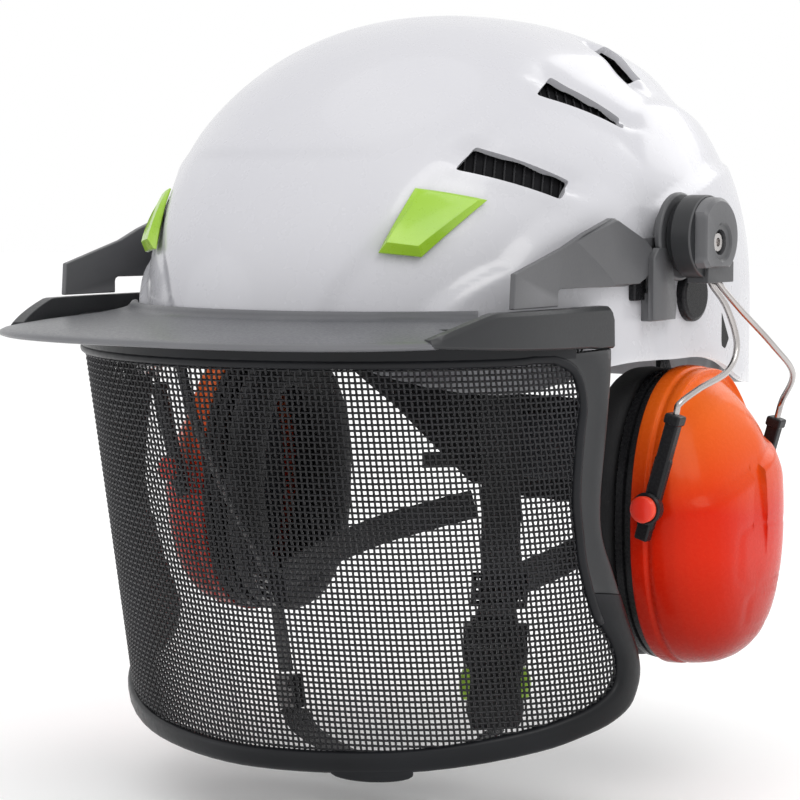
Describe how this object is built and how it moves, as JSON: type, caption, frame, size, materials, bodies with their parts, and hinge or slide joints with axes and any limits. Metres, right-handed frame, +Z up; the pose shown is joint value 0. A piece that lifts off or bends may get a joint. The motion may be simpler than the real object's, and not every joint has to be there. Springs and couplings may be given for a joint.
{
  "type": "forestry helmet",
  "caption": "White climbing-style helmet with a flip-up mesh visor and peak, hinged orange ear muffs on wire forks, and a buckled chin strap.",
  "frame": {"origin": "middle of the wearer's head at the height of the brow band", "axes": "+X is the wearer's left, -Y is the way the wearer looks, +Z is up"},
  "size_m": [0.28, 0.3586, 0.3036],
  "materials": {
    "shell_white": "glossy white ABS shell",
    "liner_black": "black expanded foam liner",
    "pad_foam": "black comfort padding",
    "dark_grey": "dark grey satin moulded plastic",
    "black_plastic": "black satin moulded plastic",
    "mesh_black": "black woven nylon mesh",
    "lime": "lime green plastic",
    "orange": "orange to red glossy cup shell",
    "button_red": "orange-red button",
    "steel": "bright spring steel",
    "webbing": "black woven webbing"
  },
  "bodies": {
    "helmet": {"shell": "shell_white", "impact_liner": "liner_black", "crown_pad": "pad_foam", "headband": "black_plastic", "brow_pad": "pad_foam", "rear_lamp_clip": "lime", "slot_adapter_left": "dark_grey", "slot_adapter_right": "dark_grey", "strap_anchor_left": "black_plastic", "strap_anchor_right": "black_plastic", "strap_front_left": "webbing", "strap_front_right": "webbing", "strap_rear_left": "webbing", "strap_rear_right": "webbing", "strap_adjuster_left": "black_plastic", "strap_adjuster_right": "black_plastic", "length_adjuster": "black_plastic", "chin_strap": "webbing", "buckle_socket": "black_plastic", "buckle_plug": "black_plastic"},
    "visor": {"peak": "dark_grey", "visor_mesh": "mesh_black", "visor_top_rail": "black_plastic", "visor_bottom_trim": "black_plastic", "visor_side_band_left": "dark_grey", "visor_side_band_right": "dark_grey", "visor_block_left": "dark_grey", "visor_block_right": "dark_grey", "visor_arm_left": "dark_grey", "visor_arm_right": "dark_grey"},
    "nape": {"nape_cradle": "black_plastic"},
    "knob": {"adjuster_knob": "black_plastic"},
    "rack_l": {"rack_left": "dark_grey"},
    "rack_r": {"rack_right": "dark_grey"},
    "lamp_clip_l": {"lamp_clip_left": "lime"},
    "lamp_clip_r": {"lamp_clip_right": "lime"},
    "prong_l": {"buckle_prong_left": "lime"},
    "prong_r": {"buckle_prong_right": "lime"},
    "muff_swivel_l": {"muff_hub_left": "dark_grey", "hub_screw_left": "steel"},
    "muff_fork_l": {"wire_fork_left": "steel"},
    "muff_rods_l": {"cup_rod_front_left": "black_plastic", "cup_rod_rear_left": "black_plastic", "pivot_button_front_left": "button_red", "pivot_button_rear_left": "button_red"},
    "muff_cup_l": {"cup_shell_left": "orange", "cup_back_plate_left": "black_plastic", "cup_cushion_left": "pad_foam", "cup_foam_left": "pad_foam"},
    "muff_swivel_r": {"muff_hub_right": "dark_grey", "hub_screw_right": "steel"},
    "muff_fork_r": {"wire_fork_right": "steel"},
    "muff_rods_r": {"cup_rod_front_right": "black_plastic", "cup_rod_rear_right": "black_plastic", "pivot_button_front_right": "button_red", "pivot_button_rear_right": "button_red"},
    "muff_cup_r": {"cup_shell_right": "orange", "cup_back_plate_right": "black_plastic", "cup_cushion_right": "pad_foam", "cup_foam_right": "pad_foam"}
  },
  "joints": [
    {"name": "visor_flip", "type": "hinge", "parent": "helmet", "child": "visor", "pos_m": [0, -0.012, 0.032], "axis": [-1, 0, 0], "range_deg": [0, 85]},
    {"name": "muff_swivel_left", "type": "hinge", "parent": "helmet", "child": "muff_swivel_l", "pos_m": [0.116, -0.012, 0.032], "axis": [1, 0, 0], "range_deg": [-5, 5]},
    {"name": "muff_fold_left", "type": "hinge", "parent": "muff_swivel_l", "child": "muff_fork_l", "pos_m": [0.124, -0.005, 0.019], "axis": [0, -1, 0], "range_deg": [0, 35]},
    {"name": "muff_height_left", "type": "slide", "parent": "muff_fork_l", "child": "muff_rods_l", "axis": [-0.28, 0, -0.96], "range_m": [0, 0.02]},
    {"name": "cup_tilt_left", "type": "hinge", "parent": "muff_rods_l", "child": "muff_cup_l", "pos_m": [0.117, 0.007, -0.07], "axis": [0, 1, 0], "range_deg": [-8, 8]},
    {"name": "muff_swivel_right", "type": "hinge", "parent": "helmet", "child": "muff_swivel_r", "pos_m": [-0.116, -0.012, 0.032], "axis": [1, 0, 0], "range_deg": [-5, 5]},
    {"name": "muff_fold_right", "type": "hinge", "parent": "muff_swivel_r", "child": "muff_fork_r", "pos_m": [-0.124, -0.005, 0.019], "axis": [0, 1, 0], "range_deg": [0, 35]},
    {"name": "muff_height_right", "type": "slide", "parent": "muff_fork_r", "child": "muff_rods_r", "axis": [0.28, 0, -0.96], "range_m": [0, 0.02]},
    {"name": "cup_tilt_right", "type": "hinge", "parent": "muff_rods_r", "child": "muff_cup_r", "pos_m": [-0.117, 0.007, -0.07], "axis": [0, 1, 0], "range_deg": [-8, 8]},
    {"name": "nape_tilt", "type": "hinge", "parent": "helmet", "child": "nape", "pos_m": [0, 0.033, -0.017], "axis": [1, 0, 0], "range_deg": [-6, 6]},
    {"name": "knob_turn", "type": "hinge", "parent": "nape", "child": "knob", "pos_m": [0, 0.105, -0.066], "axis": [0, 1, 0], "range_deg": [-180, 180]},
    {"name": "rack_left_draw", "type": "hinge", "parent": "nape", "child": "rack_l", "pos_m": [0, 0.02, -0.066], "axis": [0, 0, 1], "range_deg": [-9, 9]},
    {"name": "rack_right_draw", "type": "hinge", "parent": "nape", "child": "rack_r", "pos_m": [0, 0.02, -0.066], "axis": [0, 0, 1], "range_deg": [-9, 9]},
    {"name": "lamp_clip_left_flex", "type": "hinge", "parent": "helmet", "child": "lamp_clip_l", "pos_m": [0.0675, -0.0995, 0.0485], "axis": [-0.7028, -0.7028, 0.1104], "range_deg": [0, 8], "stiffness_Nm_per_rad": 0.5},
    {"name": "lamp_clip_right_flex", "type": "hinge", "parent": "helmet", "child": "lamp_clip_r", "pos_m": [-0.0675, -0.0995, 0.0485], "axis": [-0.7028, 0.7028, -0.1104], "range_deg": [0, 8], "stiffness_Nm_per_rad": 0.5},
    {"name": "buckle_press_left", "type": "slide", "parent": "helmet", "child": "prong_l", "axis": [-0.8192, -0.5736, 0], "range_m": [0, 0.0022], "stiffness_N_per_m": 2000},
    {"name": "buckle_press_right", "type": "slide", "parent": "helmet", "child": "prong_r", "axis": [0.8192, 0.5736, 0], "range_m": [0, 0.0022], "stiffness_N_per_m": 2000}
  ],
  "couplings": [
    {"joint": "rack_left_draw", "follows": "knob_turn", "ratio": -0.048824},
    {"joint": "rack_right_draw", "follows": "knob_turn", "ratio": 0.048824}
  ]
}
